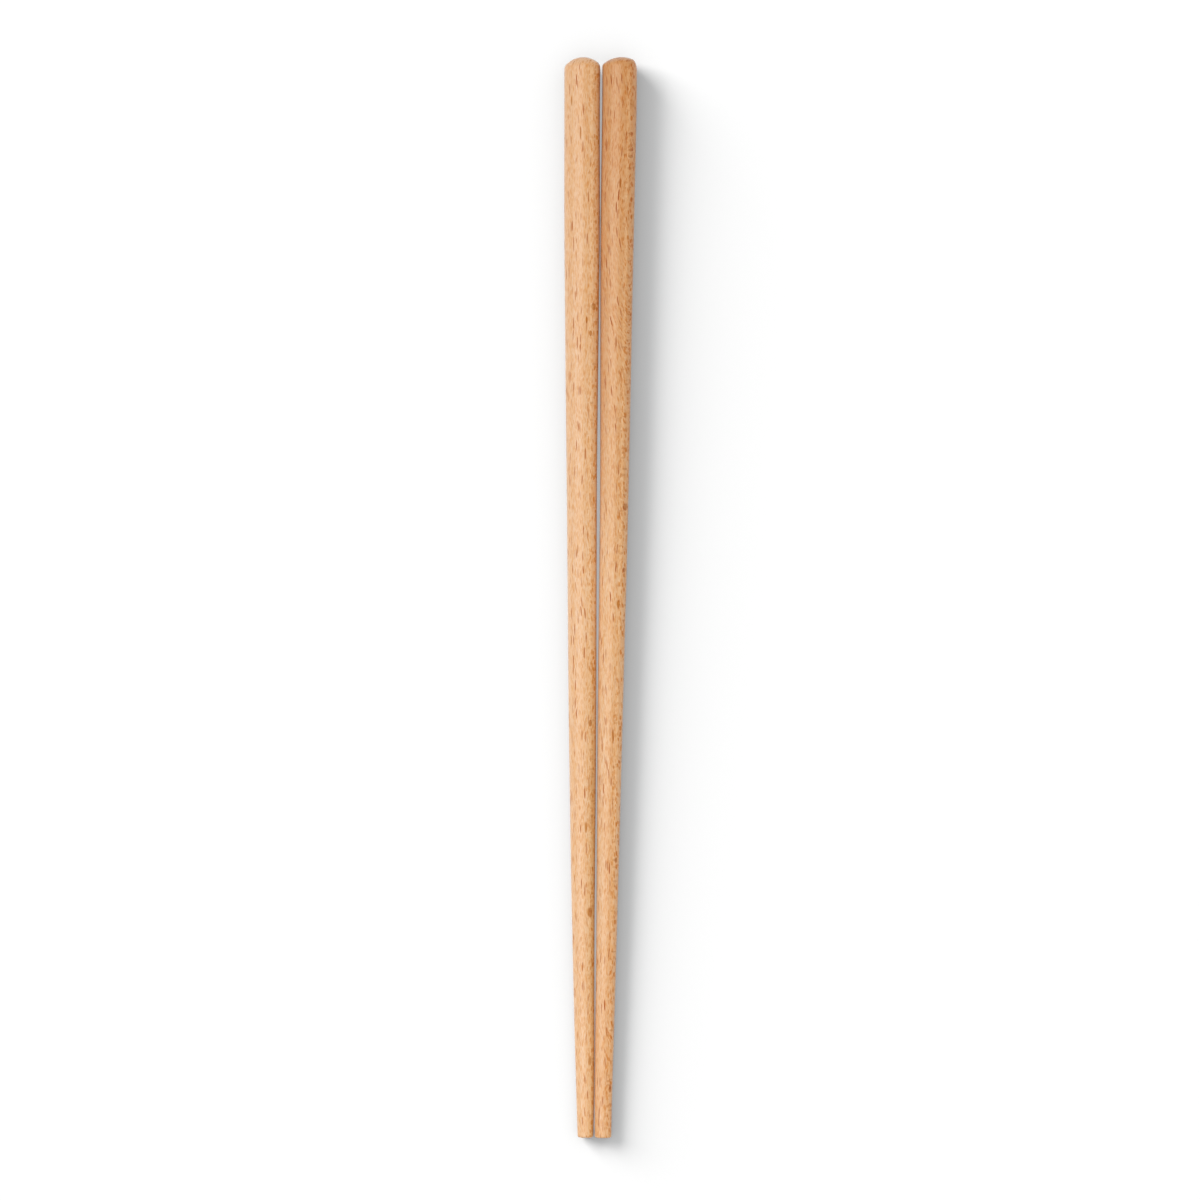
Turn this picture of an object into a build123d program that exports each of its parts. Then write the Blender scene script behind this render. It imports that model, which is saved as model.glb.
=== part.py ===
from build123d import *
import os

# A pair of wooden chopsticks lying side by side on a table, in millimetres.
# +Y runs from the tips to the handle ends, +X to the right and +Z up.
# The origin is under the middle of the pair, on the table.

# Sizes that both sticks share
stick_length = 230.0      # from the flat tip to the crown of the dome
middle_station = 115.0    # distance from the tip at which the middle diameter is taken
trim_length = 1.0         # extra length of the blank, which shaping the dome takes off
pair_gap = 0.4            # air between the straight inner sides
strip_count = 8           # smooth lengthwise strips that make up a stick's side

# Left stick
left_handle_diameter = 7.68
left_middle_diameter = 6.21
left_tip_diameter = 3.30
left_crown_rise = 2.06    # height of the dome over its rim
left_crown_lean = -0.11   # distance of the crown from the stick's centre, outwards
left_rim_radius = 0.65    # rounding where the dome meets the side
left_tip_radius = 0.50    # rounding of the edge of the flat tip

# Right stick
right_handle_diameter = 7.45
right_middle_diameter = 5.87
right_tip_diameter = 3.40
right_crown_rise = 1.40
right_crown_lean = 0.45
right_rim_radius = 1.15
right_tip_radius = 0.40

# The seam between the sticks is set off the middle, so that the pair's outer sides are level about X = 0
seam_x = (left_handle_diameter - right_handle_diameter) / 2
tip_y = -stick_length / 2
crown_y = tip_y + stick_length


def section(diameter, station, side):
    """A round section that touches both the table and the inner plane, drawn as one arc for each strip."""
    radius = diameter / 2
    centre = (seam_x + side * (pair_gap / 2 + radius), tip_y + station, radius)
    plane = Plane(centre, x_dir=(side, 0, 0), z_dir=(0, 1, 0))
    turn = 360 / strip_count
    return Wire([Edge.make_circle(radius, plane, turn * k, turn * (k + 1)) for k in range(strip_count)])


def dome_waste(diameter, crown_rise, crown_lean, side):
    """What is sanded off the end of the blank: a block around it, less the ball that the dome is part of."""
    radius = diameter / 2
    ball_radius = (radius**2 + crown_rise**2) / (2 * crown_rise)
    centre_x = seam_x + side * (pair_gap / 2 + radius + crown_lean)
    ball_centre = Pos(centre_x, crown_y - ball_radius, radius)
    reach = ball_radius + trim_length
    block = Box(4 * reach, 2 * reach, 4 * reach, align=(Align.CENTER, Align.MIN, Align.CENTER))
    return ball_centre * (block - Sphere(ball_radius))


def chopstick(side, handle, middle, tip, crown_rise, crown_lean, rim_radius, tip_radius):
    """One stick: a smooth taper with a straight inner side and underside, a domed handle and a flat tip."""
    blank = Solid.make_loft(
        [
            section(tip, 0, side),
            section(middle, middle_station, side),
            section(handle, stick_length + trim_length, side),
        ]
    )
    stick = blank - dome_waste(handle, crown_rise, crown_lean, side)
    dome = stick.faces().sort_by(Axis.Y)[-1]
    stick = fillet(dome.edges(), rim_radius)
    tip_face = stick.faces().sort_by(Axis.Y)[0]
    return fillet(tip_face.edges(), tip_radius)


left_chopstick = chopstick(
    side=-1,
    handle=left_handle_diameter,
    middle=left_middle_diameter,
    tip=left_tip_diameter,
    crown_rise=left_crown_rise,
    crown_lean=left_crown_lean,
    rim_radius=left_rim_radius,
    tip_radius=left_tip_radius,
)
right_chopstick = chopstick(
    side=1,
    handle=right_handle_diameter,
    middle=right_middle_diameter,
    tip=right_tip_diameter,
    crown_rise=right_crown_rise,
    crown_lean=right_crown_lean,
    rim_radius=right_rim_radius,
    tip_radius=right_tip_radius,
)

os.makedirs("parts", exist_ok=True)
export_step(left_chopstick, "parts/left_chopstick.step")
export_step(right_chopstick, "parts/right_chopstick.step")
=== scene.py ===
import bpy
import math
import numpy as np
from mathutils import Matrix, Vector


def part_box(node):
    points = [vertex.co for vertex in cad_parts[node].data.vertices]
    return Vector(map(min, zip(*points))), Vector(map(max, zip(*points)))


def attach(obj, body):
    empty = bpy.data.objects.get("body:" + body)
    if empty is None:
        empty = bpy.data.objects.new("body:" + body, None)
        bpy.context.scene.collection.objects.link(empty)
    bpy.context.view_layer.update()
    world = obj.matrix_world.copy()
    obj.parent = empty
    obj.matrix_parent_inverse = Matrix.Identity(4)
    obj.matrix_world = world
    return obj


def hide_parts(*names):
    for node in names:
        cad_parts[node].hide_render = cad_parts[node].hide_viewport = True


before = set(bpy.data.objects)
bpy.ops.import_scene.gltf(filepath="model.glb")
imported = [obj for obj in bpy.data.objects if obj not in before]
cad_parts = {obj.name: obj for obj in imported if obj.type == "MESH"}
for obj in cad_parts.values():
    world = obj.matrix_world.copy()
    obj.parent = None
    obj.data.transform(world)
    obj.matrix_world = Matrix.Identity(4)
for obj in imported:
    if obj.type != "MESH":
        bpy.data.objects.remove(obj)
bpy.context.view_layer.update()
mm = 0.001
print("frame loaded:", ", ".join(sorted(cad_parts)))


class Wire:
    # one output of a node; + - * / between wires and numbers add Math nodes to the same tree
    def __init__(self, tree, socket):
        self.tree = tree
        self.socket = socket

    # any other node: its type, its settings, which are set first, and values or wires for its sockets
    def node(self, kind, settings, sockets, out=0):
        made = self.tree.nodes.new(kind)
        for name, value in settings.items():
            if name == "stops":
                self.setStops(made.color_ramp, value)
            else:
                setattr(made, name, value)
        for key, value in sockets.items():
            if isinstance(value, Wire):
                self.tree.links.new(value.socket, made.inputs[key])
            else:
                made.inputs[key].default_value = value
        return Wire(self.tree, made.outputs[out])

    # a ramp's stops, from the lowest up, each a place from 0 to 1 and a colour
    def setStops(self, ramp, stops):
        while len(ramp.elements) < len(stops):
            ramp.elements.new(0.5)
        for element, (position, colour) in zip(ramp.elements, stops):
            element.position = position
            element.color = (*colour, 1)

    def maths(self, operation, first, second):
        return self.node("ShaderNodeMath", {"operation": operation}, {0: first, 1: second})

    def __add__(self, other):
        return self.maths("ADD", self, other)

    def __radd__(self, other):
        return self.maths("ADD", other, self)

    def __sub__(self, other):
        return self.maths("SUBTRACT", self, other)

    def __rsub__(self, other):
        return self.maths("SUBTRACT", other, self)

    def __mul__(self, other):
        return self.maths("MULTIPLY", self, other)

    def __rmul__(self, other):
        return self.maths("MULTIPLY", other, self)

    def __truediv__(self, other):
        return self.maths("DIVIDE", self, other)

    def __rtruediv__(self, other):
        return self.maths("DIVIDE", other, self)

    # this wire without its sign
    def __abs__(self):
        return self.maths("ABSOLUTE", self, 0)

    # a smooth step from 0 to 1 as this wire goes from one number to another
    def step(self, start, end):
        return self.node(
            "ShaderNodeMapRange",
            {"interpolation_type": "SMOOTHSTEP"},
            {"Value": self, "From Min": start, "From Max": end},
        )

    # held between 0 and 1
    def clamped(self):
        return self.node("ShaderNodeClamp", {}, {"Value": self})

    # one axis of this place
    def part(self, axis):
        return self.node("ShaderNodeSeparateXYZ", {}, {0: self}, out=axis)

    # this place times a number for each axis, which sets how long a pattern is along that axis
    def stretched(self, across, along, deep):
        return self.tinted((1 / across, 1 / along, 1 / deep))

    # soft noise of about that size in millimetres at this place, from -1 to 1 with 0 in the middle
    def noise(self, across, along, deep, detail=2.0, roughness=0.55):
        place = self.stretched(across, along, deep)
        sockets = {"Vector": place, "Scale": 1.0, "Detail": detail, "Roughness": roughness}
        return (self.node("ShaderNodeTexNoise", {"noise_dimensions": "3D"}, sockets) - 0.5) * 2

    # the same for a single number, which gives a wavering line
    def waver(self, length, detail=1.0):
        sockets = {"W": self / length, "Scale": 1.0, "Detail": detail}
        return (self.node("ShaderNodeTexNoise", {"noise_dimensions": "1D"}, sockets) - 0.5) * 2

    # the colour that a ramp gives for this wire
    def ramp(self, stops):
        return self.node("ShaderNodeValToRGB", {"stops": stops}, {0: self})

    # this colour or place times another, channel by channel
    def tinted(self, colour):
        return self.node("ShaderNodeVectorMath", {"operation": "MULTIPLY"}, {0: self, 1: colour})

    # this colour mixed with another by a factor
    def mixed(self, factor, other):
        return self.node("ShaderNodeMix", {"data_type": "RGBA"}, {0: factor, 6: self, 7: other}, out=2)


# sRGB numbers from 0 to 255 as the linear colour that a shader takes
def paint(red, green, blue):
    share = np.array([red, green, blue]) / 255
    return tuple(np.where(share > 0.04045, ((share + 0.055) / 1.055) ** 2.4, share / 12.92))


# one of the broad or dark flecks that stand out on the real sticks: its distance from the tip, its angle
# from the top towards the right, half its width and length in millimetres, and how dark it is
def fleck(along, turn, wide, long, dark):
    return dict(along=along, turn=math.radians(turn), wide=wide, long=long, dark=dark)


# Sizes in millimetres. The three diameters are the solid's. The crown, the rim and the drifts are the hand
# finish, which stays within about 0.2 mm of the solid. Drifts go from the tip to the crown at equal steps,
# and tones by the share of the length.
leftStick = dict(
    name="leftStick",
    node="left_chopstick",
    side=-1,                       # -1 for the left of the pair, 1 for the right
    tipDia=3.30,
    middleDia=6.21,
    handleDia=7.68,
    crownRise=1.86,                # height of the dome's ball over the handle's full width
    crownLean=-0.19,               # how far its middle lies outwards of the stick's, below 0 inwards
    crownDrop=0.11,                # how far the crown stays short of the solid's
    innerRim=0.66,                 # rounding of the dome's rim on the inner and the outer side
    outerRim=0.42,
    tipBlend=0.8,                  # rounding of the tip's edge
    innerDrift=(0.04, 0.10, 0.06, 0.06, 0.02, -0.12, 0.08, 0.11, 0.05),  # how far a side strays outwards
    outerDrift=(0.0, 0.15, 0.18, 0.12, 0.0, -0.05, 0.03, 0.06, 0.02),
    rayTilt=30,                    # degrees that the rays are turned around the stick
    raySpacing=2.7,                # how far apart they are, in half sizes of a ray
    sideFlecks=0.32,               # how dark the flecks are where the side runs along the rays
    fibreDepth=0.68,               # how strong the fibres are
    grainShift=(3.0, 0.0, 11.0),   # where in the tree the stick was cut
    grainLean=0.0,                 # how far the grain moves sideways where it leans over
    outerTones=[
        (0.00, paint(249, 213, 178)),
        (0.50, paint(245, 211, 179)),
        (1.00, paint(235, 198, 163)),
    ],
    innerShadingTones=[                   # painted shade and light on the side that faces the other stick
        (0.00, paint(227, 189, 141)),
        (0.32, paint(225, 188, 142)),
        (0.50, paint(245, 211, 179)),
        (1.00, paint(235, 198, 163)),
    ],
    flecks=[
        fleck(along=220.4, turn=-36, wide=0.17, long=1.1, dark=0.8),
        fleck(along=213.6, turn=-5, wide=0.18, long=1.4, dark=0.9),
        fleck(along=176.8, turn=44, wide=0.66, long=0.76, dark=0.8),
        fleck(along=173.9, turn=17, wide=0.22, long=0.75, dark=0.9),
        fleck(along=171.1, turn=32, wide=0.36, long=0.62, dark=0.95),
        fleck(along=125.3, turn=-17, wide=0.18, long=1.0, dark=0.6),
        fleck(along=88.3, turn=35, wide=0.44, long=0.74, dark=0.9),
        fleck(along=66.2, turn=14, wide=0.26, long=1.2, dark=0.8),
        fleck(along=48.1, turn=36, wide=0.64, long=1.1, dark=0.9),
        fleck(along=16.5, turn=35, wide=0.38, long=1.0, dark=0.8),
    ],
)
rightStick = dict(
    name="rightStick",
    node="right_chopstick",
    side=1,
    tipDia=3.40,
    middleDia=5.87,
    handleDia=7.45,
    crownRise=1.31,
    crownLean=0.49,
    crownDrop=0.0,
    innerRim=0.33,
    outerRim=1.60,
    tipBlend=0.65,
    innerDrift=(0.04, 0.10, 0.06, 0.08, -0.04, -0.10, 0.07, 0.11, 0.05),
    outerDrift=(0.06, -0.05, -0.08, -0.08, -0.06, -0.02, -0.08, 0.0, -0.08),
    rayTilt=35,
    raySpacing=2.5,
    sideFlecks=0.48,
    fibreDepth=0.76,
    grainShift=(41.0, 300.0, 77.0),
    grainLean=5.0,
    outerTones=[
        (0.00, paint(239, 196, 157)),
        (0.50, paint(235, 196, 158)),
        (1.00, paint(215, 167, 122)),
    ],
    # painted light and shade on the side that faces the other stick: paler at mid length, darker above it
    innerShadingTones=[
        (0.06, paint(236, 195, 157)),
        (0.22, paint(236, 204, 173)),
        (0.52, paint(236, 205, 174)),
        (0.70, paint(219, 179, 143)),
        (1.00, paint(211, 166, 124)),
    ],
    flecks=[
        fleck(along=213.6, turn=46, wide=0.70, long=0.34, dark=0.5),
        fleck(along=210.1, turn=46, wide=0.75, long=0.32, dark=0.6),
        fleck(along=208.7, turn=46, wide=0.75, long=0.34, dark=0.6),
        fleck(along=206.2, turn=41, wide=0.60, long=0.30, dark=0.5),
        fleck(along=203.0, turn=7, wide=0.22, long=1.1, dark=0.9),
        fleck(along=169.2, turn=-1, wide=0.20, long=1.3, dark=0.8),
        fleck(along=134.3, turn=54, wide=0.80, long=0.80, dark=0.8),
        fleck(along=120.9, turn=54, wide=0.55, long=0.55, dark=0.8),
        fleck(along=113.6, turn=27, wide=0.36, long=0.95, dark=1.0),
        fleck(along=85.5, turn=13, wide=0.20, long=1.6, dark=0.8),
        fleck(along=59.2, turn=46, wide=0.45, long=0.6, dark=0.8),
        fleck(along=10.4, turn=48, wide=0.45, long=0.7, dark=0.8),
    ],
)
stickShape = dict(
    middleStation=115.0,       # where the middle diameter is taken, from the tip
    trim=1.0,                  # how much longer the tapered blank is than the finished stick
    tipReach=1.4,              # how far in from the tip the fan of rays that draws it starts
    domeReach=4.5,             # the same for the dome
    tipRings=28,
    sideRings=380,
    domeRings=52,
    segments=128,
    reachRounds=3,             # rounds in which a ray's length to the side is found
    leastSlant=0.02,           # least sine or cosine that a ray's length is divided by
    sanding=0.012,             # half the depth of the hand-sanded unevenness
    sandingWaves=(5.3, 8.9),   # length of its two waves, in millimetres a radian
    bakeBands=3,               # bands that the side is cut into on its texture map
    bakeMargin=0.006,          # share of the map that is left free beside a band
)


# the lower of two distances, rounded off where they are within blend of each other
def smoothMin(first, second, blend):
    overlap = np.maximum(blend - np.abs(first - second), 0) / blend
    return np.minimum(first, second) - overlap**2 * blend / 4


# where a stick's solid lies: its inner plane, its tip and its length, in millimetres
def stickPlace(stick):
    low, high = (np.array(corner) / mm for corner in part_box(stick["node"]))
    innerX = high[0] if stick["side"] < 0 else low[0]
    return innerX, low[1], high[1] - low[1]


# a stick's radius at a distance from the tip: the quadratic through its three diameters
def radiusAt(stick, y):
    middle = stickShape["middleStation"]
    blank = stickPlace(stick)[2] + stickShape["trim"]
    firstSlope = (stick["middleDia"] - stick["tipDia"]) / middle
    lastSlope = (stick["handleDia"] - stick["middleDia"]) / (blank - middle)
    bend = (lastSlope - firstSlope) / blank
    return (stick["tipDia"] + firstSlope * y + bend * y * (y - middle)) / 2


# A stick's surface, as rings from the tip to the crown. Along the side a ring at distance y from the tip is
# a circle of the taper's radius, which touches the table and the inner plane. Each end is a fan of rays from
# a point on the axis: a ray is as long as the nearer of the side and the flat tip, or of the side and the
# dome's ball, rounded off between them.
def stickRings(stick):
    innerX, tipY, length = stickPlace(stick)
    shape = stickShape
    side = stick["side"]

    # each side's drift as a smooth line through its steps
    def driftAt(steps, y):
        stations = np.linspace(0, length, len(steps))
        return np.polynomial.Chebyshev.fit(stations, steps, len(steps) - 2)(y)

    turn = np.linspace(0, 2 * math.pi, shape["segments"], endpoint=False)[None, :]
    cosTurn = np.cos(turn)
    sinTurn = np.sin(turn)

    # length of a ray to the side, from the axis at y, tilted by polar from the end's outward direction
    def sideReach(y, polar, outward):
        radius = radiusAt(stick, y)
        sinPolar = np.maximum(np.sin(polar), shape["leastSlant"])
        reach = radius / sinPolar
        for _ in range(shape["reachRounds"]):
            there = radiusAt(stick, y + outward * reach * np.cos(polar))
            reach = (there + (there - radius) * (side * cosTurn + sinTurn)) / sinPolar
        return reach

    # places on a fan's rays, with the polar angle in rows and the turn around the axis in columns
    def fan(y, polar, reach, outward):
        radius = radiusAt(stick, y)
        across = reach * np.sin(polar)
        x = innerX + side * radius + across * cosTurn
        z = radius + across * sinTurn
        return np.stack([x, y + outward * reach * np.cos(polar) + 0 * x, z], -1)

    tipPolar = np.linspace(0, math.pi / 2, shape["tipRings"] + 1)[:, None]
    flat = shape["tipReach"] / np.maximum(np.cos(tipPolar), shape["leastSlant"])
    tipRay = smoothMin(sideReach(shape["tipReach"], tipPolar, -1), flat + 0 * turn, stick["tipBlend"])
    tip = fan(shape["tipReach"], tipPolar, tipRay, -1)

    domeY = length - stick["crownDrop"] - shape["domeReach"]
    domePolar = np.linspace(math.pi / 2, 0, shape["domeRings"] + 1)[:, None]
    ball = (stick["handleDia"] ** 2 / 4 + stick["crownRise"] ** 2) / (2 * stick["crownRise"])
    toBall = np.array([-side * stick["crownLean"], ball - shape["domeReach"]])
    along = np.sin(domePolar) * cosTurn * toBall[0] + np.cos(domePolar) * toBall[1]
    ballRay = -along + np.sqrt(along**2 - (toBall**2).sum() + ball**2)
    outerShare = (1 + side * cosTurn) / 2
    rim = stick["innerRim"] + (stick["outerRim"] - stick["innerRim"]) * outerShare
    domeRay = smoothMin(sideReach(domeY, domePolar, 1), ballRay, rim)
    dome = fan(domeY, domePolar, domeRay, 1)

    sideY = np.linspace(shape["tipReach"], domeY, shape["sideRings"] + 1)[1:-1, None]
    sideR = radiusAt(stick, sideY)
    sides = np.stack(
        [innerX + side * sideR + sideR * cosTurn, sideY + 0 * cosTurn, sideR + sideR * sinTurn], -1
    )
    rings = np.concatenate([tip, sides, dome])

    # sanding: two slow waves along and around, always inwards; then each side's drift
    y = rings[..., 1].copy()
    firstWave, secondWave = shape["sandingWaves"]
    waves = np.sin(y / firstWave + 2 * turn) + np.sin(y / secondWave - turn + stick["grainShift"][0])
    radius = radiusAt(stick, y)
    axis = innerX + side * radius
    inward = 1 - shape["sanding"] * (1 + waves / 2) / radius
    drift = driftAt(stick["outerDrift"], y) * outerShare - driftAt(stick["innerDrift"], y) * (1 - outerShare)
    rings[..., 0] = axis + (rings[..., 0] - axis) * inward + side * drift
    rings[..., 2] = radius + (rings[..., 2] - radius) * inward
    rings[..., 1] += tipY
    return rings * mm


# Rings joined by four-sided faces and closed by a fan of triangles at each pole. The texture map cuts the
# stick into equal runs of its length, laid side by side as bands.
def stickPiece(stick):
    rings = stickRings(stick)
    count, segments = rings.shape[:2]
    grid = np.arange((count - 2) * segments).reshape(-1, segments) + 2
    places = np.concatenate([rings[0, :1], rings[-1, :1], rings[1:-1].reshape(-1, 3)])
    after = np.roll(grid, -1, 1)
    quads = np.stack([grid[:-1], grid[1:], after[1:], after[:-1]], -1).reshape(-1, 4)
    tipFan = np.stack([np.zeros_like(grid[0]), grid[0], after[0]], -1)
    crownFan = np.stack([grid[-1], np.ones_like(grid[0]), after[-1]], -1)
    corners = np.concatenate([tipFan.ravel(), quads.ravel(), crownFan.ravel()])
    sizes = np.concatenate([np.full(segments, 3), np.full(len(quads), 4), np.full(segments, 3)])

    mesh = bpy.data.meshes.new(stick["name"])
    mesh.vertices.add(len(places))
    mesh.vertices.foreach_set("co", places.ravel())
    mesh.loops.add(len(corners))
    mesh.loops.foreach_set("vertex_index", corners.astype(np.int32))
    mesh.polygons.add(len(sizes))
    mesh.polygons.foreach_set("loop_start", (np.cumsum(sizes) - sizes).astype(np.int32))
    mesh.update(calc_edges=True)
    mesh.polygons.foreach_set("use_smooth", np.ones(len(sizes), bool))

    # u runs along a band by the distance walked over the surface, v around the stick within the band
    walked = np.concatenate([[0], np.cumsum(np.linalg.norm(np.diff(rings[:, 0], axis=0), axis=1))])
    bands = stickShape["bakeBands"]
    margin = stickShape["bakeMargin"]
    cuts = np.searchsorted(walked, np.linspace(0, walked[-1], bands + 1))
    cuts[-1] = count - 1
    row = np.arange(count - 1)
    band = np.clip(np.searchsorted(cuts, row, "right") - 1, 0, bands - 1)
    start = walked[cuts[band]]
    span = walked[cuts[band + 1]] - start
    near = margin + (1 - 2 * margin) * (walked[row] - start) / span
    far = margin + (1 - 2 * margin) * (walked[row + 1] - start) / span
    column = np.arange(segments)
    left = (band[:, None] + margin * bands + (1 - 2 * margin * bands) * column / segments) / bands
    right = (band[:, None] + margin * bands + (1 - 2 * margin * bands) * (column + 1) / segments) / bands
    near = near[:, None] + 0 * left
    far = far[:, None] + 0 * left
    quadMap = np.stack([near, left, far, left, far, right, near, right], -1)
    middle = (left + right) / 2
    tipMap = np.stack([near[0], middle[0], far[0], left[0], far[0], right[0]], -1)
    crownMap = np.stack([near[-1], left[-1], far[-1], middle[-1], near[-1], right[-1]], -1)
    layer = mesh.uv_layers.new(name="OFBake")  # the name of the map that the export bakes to
    layer.data.foreach_set("uv", np.concatenate([tipMap.ravel(), quadMap[1:-1].ravel(), crownMap.ravel()]))

    piece = bpy.data.objects.new(stick["name"], mesh)
    bpy.context.scene.collection.objects.link(piece)
    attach(piece, "root")
    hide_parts(stick["node"])
    piece.data.materials.append(beech(stick))
    print(stick["name"], len(places), "vertices")
    return piece


# Beech, worked out in millimetres with x across the rays, y along the grain and z out from the tree's heart.
# A ray is a thin lens, so it shows as a dark dash where the side cuts it edge on and as a broad fleck where
# the side runs along it. Soft noise stretched along the grain gives the fibres, streaks and patches.
wood = dict(
    wanderLength=28.0,             # the fibres' wander sideways
    wanderWidth=1.1,
    leanStretch=(30.0, 76.0),      # where on the way to the handle the grain leans over
    edgeOnSpan=(0.35, 0.85),       # how squarely the side faces the rays' edges, from not at all to wholly
    innerShadingSpan=(0.2, 0.85),         # the same for facing the other stick, which sets how much painted shade and light it takes
    rayHalf=(0.12, 1.35, 0.80),    # half size of a lens, and how much fewer the large ones are
    rayFew=2.5,
    hairHalf=(0.07, 0.65, 0.50),
    hairSpacing=1.60,
    hairFew=1.5,
    ladderHalf=(0.30, 0.30, 0.95),
    ladderSpacing=2.2,
    ladderFew=3.5,
    lensSize=(0.5, 0.6),           # smallest lens by its half size, and what chance adds
    lensDepth=(0.05, 1.05),        # palest lens, and what chance adds
    lensEdge=(1.0, 0.7),           # where a lens starts and where it is whole
    fibreSize=(0.13, 1.7, 0.34),
    streakSize=(1.2, 16.0, 1.2),
    patchSize=(0.5, 1.2, 0.5),
    fibreShade=1.15,
    streakShade=0.25,
    patchShade=0.1,
    restShade=0.34,                # shade where these cancel out
    hairShade=(1.2, 0.4),          # strength on the rays' broad side, and how much less it is edge on
    sideDashShade=0.45,
    dashShade=0.9,
    fleckFray=0.25,
    fleckEdge=(1.2, 0.75),
    fibreTint=(0.87, 0.56, 0.17),
    hairTint=(0.77, 0.42, 0.05),
    rayTint=(0.53, 0.18, 0.0),
    fleckTint=(0.62, 0.34, 0.05),
    polish=0.24,                   # roughness of the sanded wood, and what fibres and dashes add
    fibreRough=0.12,
    dashRough=0.55,
    fibrePit=0.4,                  # how deep each lies, as shares of pitDepth
    hairPit=0.3,
    dashPit=0.6,
    pitDepth=0.02,
    pitStrength=0.2,
    gloss=0.3,
)


def beech(stick):
    material = bpy.data.materials.new(stick["name"] + "Beech")
    material.use_nodes = True
    tree = material.node_tree
    shader = tree.nodes["Principled BSDF"]
    innerX, tipY, length = stickPlace(stick)
    coordinate = tree.nodes.new("ShaderNodeTexCoord")
    here = Wire(tree, coordinate.outputs["Object"])
    normal = Wire(tree, coordinate.outputs["Normal"])
    tilt = math.radians(stick["rayTilt"])
    turned = here.node(
        "ShaderNodeMapping",
        {"vector_type": "POINT"},
        {
            "Vector": here,
            "Location": stick["grainShift"],
            "Rotation": (0, tilt, 0),
            "Scale": (1 / mm, 1 / mm, 1 / mm),
        },
    )
    along = here.part("Y") / mm

    # the fibres wander sideways, and on one stick they lean over for a stretch
    wander = (along + stick["grainShift"][1]).waver(wood["wanderLength"]) * wood["wanderWidth"]
    sideways = wander + along.step(*wood["leanStretch"]) * stick["grainLean"]
    grain = turned.node(
        "ShaderNodeCombineXYZ",
        {},
        {"X": turned.part("X") + sideways, "Y": turned.part("Y"), "Z": turned.part("Z")},
    )

    # 1 where the side cuts the rays edge on, 0 where it runs along them
    facing = normal.node(
        "ShaderNodeVectorMath",
        {"operation": "DOT_PRODUCT"},
        {0: normal, 1: (-math.sin(tilt), 0, math.cos(tilt))},
        out="Value",
    )
    edgeOn = abs(facing).step(*wood["edgeOnSpan"])

    # dark where a lens of that half size is cut; larger lenses are darker, and the higher few is, the fewer
    # of them there are
    def rays(half, spacing, few):
        voronoi = {"Vector": grain.stretched(*(spacing * h for h in half)), "Scale": 1.0, "Randomness": 1.0}
        settings = {"voronoi_dimensions": "3D", "feature": "F1", "distance": "EUCLIDEAN"}
        distance = grain.node("ShaderNodeTexVoronoi", settings, voronoi, out="Distance")
        colour = Wire(tree, distance.socket.node.outputs["Color"])
        chance = grain.node("ShaderNodeSeparateColor", {}, {0: colour}, out=0)
        smallest, larger = wood["lensSize"]
        palest, darker = wood["lensDepth"]
        size = chance * larger + smallest
        depth = chance.maths("POWER", chance, few) * darker + palest
        return (distance * spacing / size).step(*wood["lensEdge"]) * depth.clamped()

    dashes = rays(wood["rayHalf"], stick["raySpacing"], wood["rayFew"])
    hairs = rays(wood["hairHalf"], wood["hairSpacing"], wood["hairFew"])
    ladder = rays(wood["ladderHalf"], wood["ladderSpacing"], wood["ladderFew"])
    fibre = grain.noise(*wood["fibreSize"])
    streak = grain.noise(*wood["streakSize"])
    patch = grain.noise(*wood["patchSize"])

    # the flecks that stand out, each an egg shape seated on the side, with edges frayed by the fibres
    placed = None
    for mark in stick["flecks"]:
        radius = radiusAt(stick, mark["along"])
        seat = np.array([
            innerX + radius * (stick["side"] + math.sin(mark["turn"])),
            tipY + mark["along"],
            radius * (1 + math.cos(mark["turn"])),
        ])
        half = np.array([mark["wide"], mark["long"], mark["wide"]])
        offset = here.node(
            "ShaderNodeVectorMath",
            {"operation": "MULTIPLY_ADD"},
            {0: here, 1: tuple(1 / (half * mm)), 2: tuple(-seat / half)},
        )
        away = offset.node("ShaderNodeVectorMath", {"operation": "LENGTH"}, {0: offset}, out="Value")
        dark = (away + fibre * wood["fleckFray"]).step(*wood["fleckEdge"]) * mark["dark"]
        placed = dark if placed is None else placed.maths("MAXIMUM", placed, dark)

    # the wood's own colour from tip to handle, and painted shade and light on the side that faces the other
    # stick
    share = (along - tipY) / length
    # painted shade on the left stick's inner side towards the tip; painted light and shade on the right
    # stick's at mid length and above
    facingIn = normal.part("X") * -stick["side"]
    tone = share.ramp(stick["outerTones"]).mixed(
        facingIn.step(*wood["innerShadingSpan"]), share.ramp(stick["innerShadingTones"])
    )

    # then fibres, hairs, the rays' broad sides, their edges and the placed flecks, one over the other
    grainy = fibre * wood["fibreShade"] + streak * wood["streakShade"] + patch * wood["patchShade"]
    shade = (wood["restShade"] + grainy * stick["fibreDepth"]).clamped()
    fibred = tone.mixed(shade, tone.tinted(wood["fibreTint"]))
    onSide, lessEdgeOn = wood["hairShade"]
    hairMarks = hairs * stick["fibreDepth"] * (onSide - edgeOn * lessEdgeOn)
    haired = fibred.mixed(hairMarks, fibred.tinted(wood["hairTint"]))
    sideMarks = (dashes * wood["sideDashShade"] + ladder).clamped() * (1 - edgeOn) * stick["sideFlecks"]
    flecked = haired.mixed(sideMarks, haired.tinted(wood["fleckTint"]))
    dashed = flecked.mixed(dashes * edgeOn * wood["dashShade"], flecked.tinted(wood["rayTint"]))
    marked = dashed.mixed(placed, dashed.tinted(wood["fleckTint"]))
    tree.links.new(marked.socket, shader.inputs["Base Color"])

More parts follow.
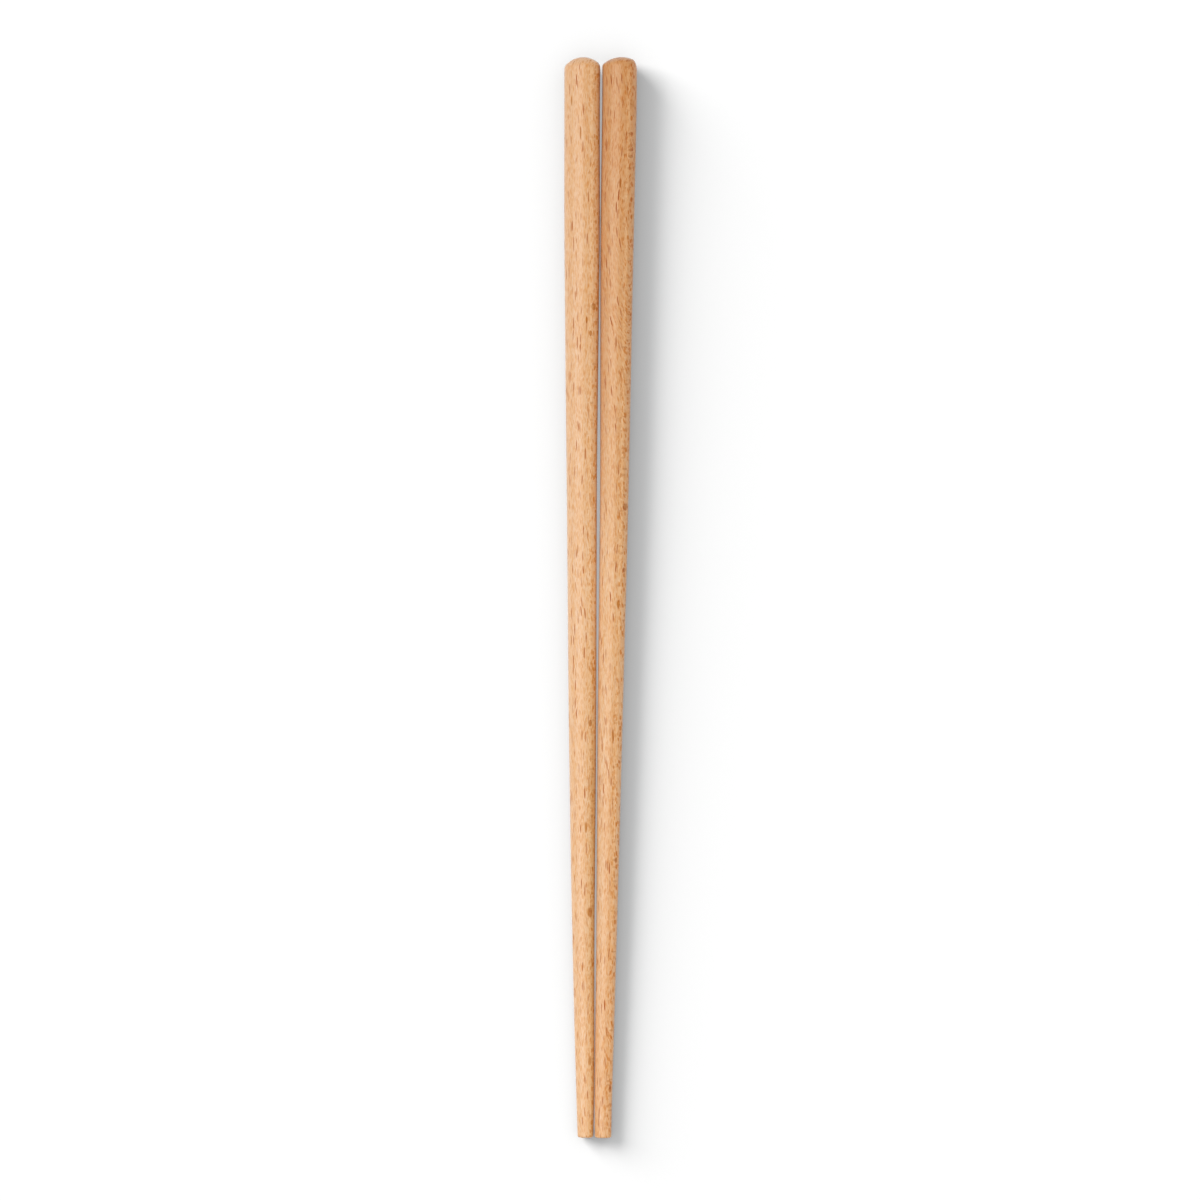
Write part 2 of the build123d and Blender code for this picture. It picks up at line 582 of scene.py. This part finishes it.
    rough = wood["polish"] + shade * wood["fibreRough"] + dashes * wood["dashRough"]
    tree.links.new(rough.socket, shader.inputs["Roughness"])
    height = dashes * -wood["dashPit"] - hairs * wood["hairPit"] - shade * wood["fibrePit"]
    pits = {"Strength": wood["pitStrength"], "Distance": wood["pitDepth"] * mm, "Height": height}
    bump = height.node("ShaderNodeBump", {}, pits)
    tree.links.new(bump.socket, shader.inputs["Normal"])
    shader.inputs["Specular IOR Level"].default_value = wood["gloss"]
    return material


pieces = [stickPiece(stick) for stick in (leftStick, rightStick)]

# The table looks pale: it is dark under strong lights and glows a little, so that it sends little of the
# wood's colour back into the shadow. It glows more in the slit between the sticks.
stage = dict(
    size=30.0,
    tone=(0.1, 0.1, 0.1),
    roughness=0.9,
    glow=(0.160, 0.165, 0.168),
    slitGlow=(0.385, 0.385, 0.385),
    slitHalf=(1.6, 0.8),           # millimetres from its middle at which the slit's glow starts and is whole
    slitReach=(115.0, 112.0),      # the same along the sticks
    sky=0.15,
)
half = stage["size"] / 2
floorCorners = [(-half, -half, 0), (half, -half, 0), (half, half, 0), (-half, half, 0)]
floorMesh = bpy.data.meshes.new("floor")
floorMesh.from_pydata(floorCorners, [], [(0, 1, 2, 3)])
floor = bpy.data.objects.new("floor", floorMesh)
bpy.context.scene.collection.objects.link(floor)
floorMaterial = bpy.data.materials.new("paleTable")
floorMaterial.use_nodes = True
floorTree = floorMaterial.node_tree
floorShader = floorTree.nodes["Principled BSDF"]
floorShader.inputs["Base Color"].default_value = (*stage["tone"], 1)
floorShader.inputs["Roughness"].default_value = stage["roughness"]
floorShader.inputs["Specular IOR Level"].default_value = 0.0
floorShader.inputs["Emission Strength"].default_value = 1.0
floorPlace = Wire(floorTree, floorTree.nodes.new("ShaderNodeTexCoord").outputs["Object"])
slitMiddle = (stickPlace(leftStick)[0] + stickPlace(rightStick)[0]) / 2
acrossSlit = abs(floorPlace.part("X") / mm - slitMiddle).step(*stage["slitHalf"])
alongSlit = abs(floorPlace.part("Y") / mm).step(*stage["slitReach"])
glow = (acrossSlit * alongSlit).ramp([(0.0, stage["glow"]), (1.0, stage["slitGlow"])])
floorTree.links.new(glow.socket, floorShader.inputs["Emission Color"])
floorMesh.materials.append(floorMaterial)

world = bpy.data.worlds.new("studio")
world.use_nodes = True
background = world.node_tree.nodes["Background"]
background.inputs["Color"].default_value = (1, 1, 1, 1)
background.inputs["Strength"].default_value = stage["sky"]
bpy.context.scene.world = world


# A square soft light that faces the origin. tilt is its angle from straight overhead, turn how far it is
# swung from the left towards the handle ends, and spread how wide it looks from the origin. level sets its
# power: a small light of level 1 makes a white card that faces it look white. It lights only the objects
# that are named, and alone leaves out the shadows that other objects throw on them.
def softBox(name, tilt, turn, spread, level, lights, distance=4.0, colour=(1.0, 1.0, 1.0), alone=False):
    tilt = math.radians(tilt)
    turn = math.radians(turn)
    data = bpy.data.lights.new(name, "AREA")
    data.shape = "SQUARE"
    data.size = 2 * distance * math.tan(math.radians(spread / 2))
    data.color = colour
    data.energy = level * (math.pi * distance) ** 2
    box = bpy.data.objects.new(name, data)
    away = np.array([-math.sin(tilt) * math.cos(turn), math.sin(tilt) * math.sin(turn), math.cos(tilt)])
    box.location = away * distance
    box.rotation_euler = (-box.location).to_track_quat("-Z", "Y").to_euler()
    bpy.context.scene.collection.objects.link(box)
    lit = bpy.data.collections.new(name + "Lights")
    for thing in lights:
        lit.objects.link(thing)
    box.light_linking.receiver_collection = lit
    if alone:
        box.light_linking.blocker_collection = lit


softBox(
    "tableKey", tilt=65, turn=34, spread=36, level=12.6, lights=[floor], distance=25.0,
    colour=(1.01, 1.0, 0.993),
)
softBox("tableTop", tilt=0, turn=0, spread=130, level=25.4, lights=[floor])
softBox("overhead", tilt=25, turn=20, spread=60, level=1.15, lights=pieces)
softBox("rightFill", tilt=-64, turn=0, spread=26, level=0.25, lights=pieces, colour=(1.15, 0.97, 0.62))
softBox(
    "flankFill", tilt=60, turn=-30, spread=40, level=0.14, lights=pieces[1:], distance=0.4,
    colour=(0.6, 1.0, 1.2), alone=True,
)
print("stage and light set")

# The camera looks straight down.
photo = dict(
    pixels=1200,
    mmPerPixel=0.21277,
    originPixel=(597.16, 597.6),   # where the photograph shows the frame's origin
    lean=0.387,                    # degrees that the pair is turned in it
    height=1.5,                    # metres from the table to the camera
    sharpAt=0.003,                 # metres over the table at which the scale holds
    sensor=36.0,
)
lean = math.radians(photo["lean"])
shiftRight = (photo["pixels"] / 2 - photo["originPixel"][0]) * photo["mmPerPixel"] * mm
shiftDown = (photo["pixels"] / 2 - photo["originPixel"][1]) * photo["mmPerPixel"] * mm
fieldWidth = photo["pixels"] * photo["mmPerPixel"] * mm
cameraData = bpy.data.cameras.new("camera")
cameraData.sensor_width = photo["sensor"]
cameraData.lens = photo["sensor"] * (photo["height"] - photo["sharpAt"]) / fieldWidth
camera = bpy.data.objects.new("camera", cameraData)
camera.location = (
    shiftRight * math.cos(lean) + shiftDown * math.sin(lean),
    shiftRight * math.sin(lean) - shiftDown * math.cos(lean),
    photo["height"],
)
camera.rotation_euler = (0, 0, lean)
bpy.context.scene.collection.objects.link(camera)
bpy.context.scene.camera = camera
bpy.context.scene.view_settings.view_transform = "Standard"
print("camera set")
